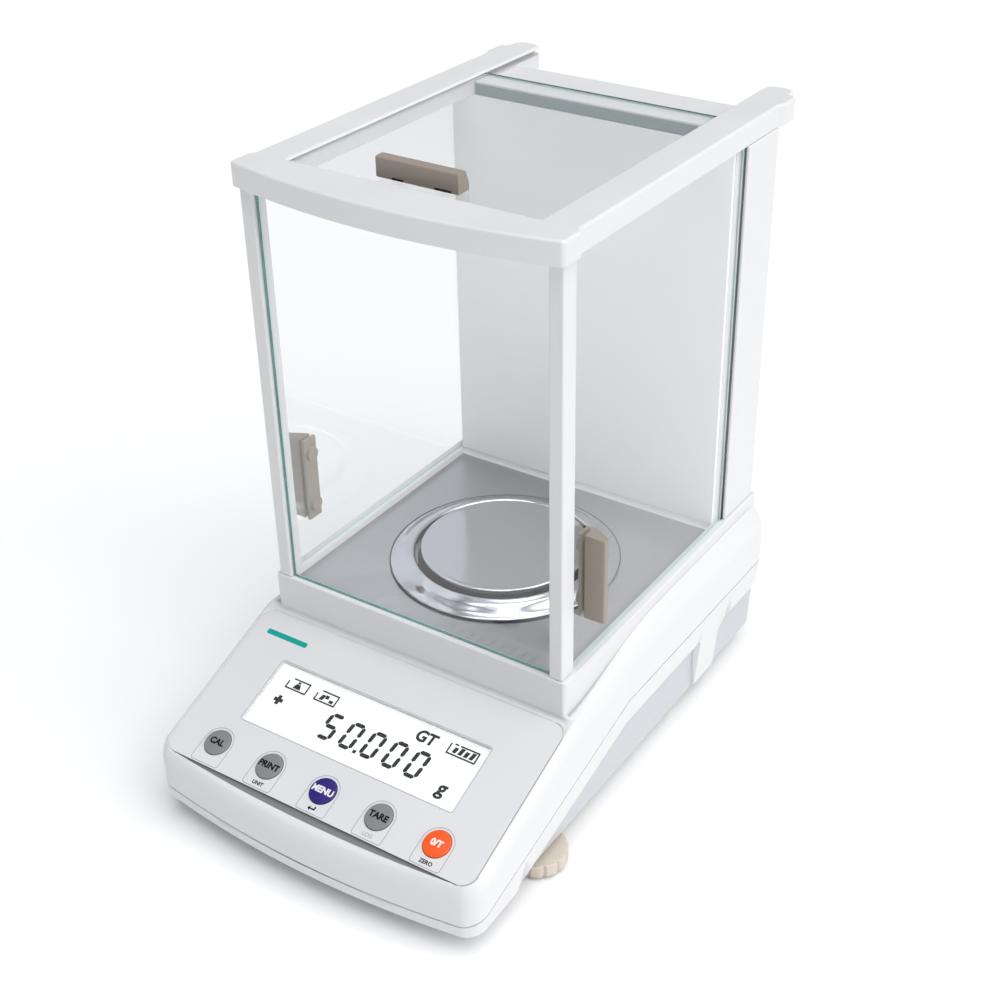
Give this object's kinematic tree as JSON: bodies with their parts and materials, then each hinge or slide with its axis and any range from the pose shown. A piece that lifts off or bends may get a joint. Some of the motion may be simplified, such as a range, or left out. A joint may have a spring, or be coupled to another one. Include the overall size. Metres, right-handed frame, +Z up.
{
  "type": "analytical balance",
  "caption": "Laboratory balance with a sloping keypad console, a round steel pan, and a glass draught shield with sliding side and top doors.",
  "frame": {"origin": "on the bench under the middle of the balance's bounding box", "axes": "+X to the right seen from the console, +Y towards the back, +Z up"},
  "size_m": [0.216, 0.353, 0.3551],
  "materials": {
    "white_abs": "fine satin texture",
    "pale_panel": "satin",
    "float_glass": "clear, green edges",
    "polyester_film": "satin printed film",
    "clear_window": "clear",
    "display_glass": "display glass",
    "circuit_board": "green solder mask",
    "grey_key": "satin",
    "purple_key": "satin",
    "orange_key": "satin",
    "cast_aluminium": "cast and milled",
    "machined_steel": "machined",
    "pan_steel": "polished stainless",
    "ring_steel": "polished stainless",
    "floor_steel": "brushed stainless",
    "taupe_plastic": "satin",
    "beige_plastic": "satin",
    "black_rubber": "matte",
    "black_plastic": "satin",
    "level_vial": "clear acrylic with green fluid"
  },
  "bodies": {
    "base": {"base_tray": "white_abs", "top_casing": "white_abs", "chassis_plate": "cast_aluminium", "main_board": "circuit_board", "force_cell": "cast_aluminium", "magnet_pot": "machined_steel", "console_film": "polyester_film", "display_window": "clear_window", "lcd_panel": "display_glass", "display_board": "circuit_board", "floor_plate": "floor_steel", "front_pillar_left": "white_abs", "front_pillar_right": "white_abs", "front_glass": "float_glass", "roof_frame": "white_abs", "roof_rear_cover": "white_abs", "chamber_back_panel": "pale_panel", "column_housing": "white_abs", "column_side_left": "white_abs", "column_side_right": "white_abs", "level_cup": "black_plastic", "level_vial": "level_vial", "power_inlet": "black_plastic", "data_port": "machined_steel", "rear_foot_left": "black_rubber", "rear_foot_right": "black_rubber", "base_screw_front_left": "machined_steel", "base_screw_front_right": "machined_steel", "base_screw_rear_left": "machined_steel", "base_screw_rear_right": "machined_steel"},
    "door_left": {"door_left": "float_glass", "door_left_handle": "taupe_plastic", "door_left_clamp": "taupe_plastic"},
    "door_right": {"door_right": "float_glass", "door_right_handle": "taupe_plastic", "door_right_clamp": "taupe_plastic"},
    "door_top": {"door_top": "float_glass", "door_top_handle": "taupe_plastic"},
    "key_cal": {"key_cal": "grey_key"},
    "key_print": {"key_print": "grey_key"},
    "key_menu": {"key_menu": "purple_key"},
    "key_tare": {"key_tare": "grey_key"},
    "key_zero": {"key_zero": "orange_key"},
    "pan_carrier": {"pan_carrier": "machined_steel"},
    "weighing_pan": {"weighing_pan": "pan_steel"},
    "draught_ring": {"draught_ring": "ring_steel"},
    "foot_pad_left": {"foot_pad_left": "black_rubber"},
    "foot_wheel_left": {"foot_wheel_left": "beige_plastic"},
    "foot_pad_right": {"foot_pad_right": "black_rubber"},
    "foot_wheel_right": {"foot_wheel_right": "beige_plastic"}
  },
  "joints": [
    {"name": "door_left_slide", "type": "slide", "parent": "base", "child": "door_left", "axis": [0, 1, 0], "range_m": [0, 0.138]},
    {"name": "door_right_slide", "type": "slide", "parent": "base", "child": "door_right", "axis": [0, 1, 0], "range_m": [0, 0.138]},
    {"name": "door_top_slide", "type": "slide", "parent": "base", "child": "door_top", "axis": [0, 1, 0], "range_m": [0, 0.14]},
    {"name": "key_cal_press", "type": "slide", "parent": "base", "child": "key_cal", "axis": [0, -0.3681, 0.9298], "range_m": [-0.0006, 0], "stiffness_N_per_m": 1500},
    {"name": "key_print_press", "type": "slide", "parent": "base", "child": "key_print", "axis": [0, -0.3681, 0.9298], "range_m": [-0.0006, 0], "stiffness_N_per_m": 1500},
    {"name": "key_menu_press", "type": "slide", "parent": "base", "child": "key_menu", "axis": [0, -0.3681, 0.9298], "range_m": [-0.0006, 0], "stiffness_N_per_m": 1500},
    {"name": "key_tare_press", "type": "slide", "parent": "base", "child": "key_tare", "axis": [0, -0.3681, 0.9298], "range_m": [-0.0006, 0], "stiffness_N_per_m": 1500},
    {"name": "key_zero_press", "type": "slide", "parent": "base", "child": "key_zero", "axis": [0, -0.3681, 0.9298], "range_m": [-0.0006, 0], "stiffness_N_per_m": 1500},
    {"name": "pan_carrier_deflection", "type": "slide", "parent": "base", "child": "pan_carrier", "axis": [0, 0, 1], "range_m": [-0.0004, 0], "stiffness_N_per_m": 12000},
    {"name": "pan_lift", "type": "slide", "parent": "pan_carrier", "child": "weighing_pan", "axis": [0, 0, 1], "range_m": [0, 0.06]},
    {"name": "ring_lift", "type": "slide", "parent": "base", "child": "draught_ring", "axis": [0, 0, 1], "range_m": [0, 0.04]},
    {"name": "foot_left_height", "type": "slide", "parent": "base", "child": "foot_pad_left", "axis": [0, 0, 1], "range_m": [-0.00201, 0.00201]},
    {"name": "foot_left_turn", "type": "hinge", "parent": "foot_pad_left", "child": "foot_wheel_left", "pos_m": [-0.0915, -0.091, 0.006], "axis": [0, 0, 1], "range_deg": [-720, 720]},
    {"name": "foot_right_height", "type": "slide", "parent": "base", "child": "foot_pad_right", "axis": [0, 0, 1], "range_m": [-0.00201, 0.00201]},
    {"name": "foot_right_turn", "type": "hinge", "parent": "foot_pad_right", "child": "foot_wheel_right", "pos_m": [0.0915, -0.091, 0.006], "axis": [0, 0, 1], "range_deg": [-720, 720]}
  ],
  "couplings": [
    {"joint": "foot_left_height", "follows": "foot_left_turn", "m_per_rad": 0.00015915},
    {"joint": "foot_right_height", "follows": "foot_right_turn", "m_per_rad": 0.00015915}
  ]
}
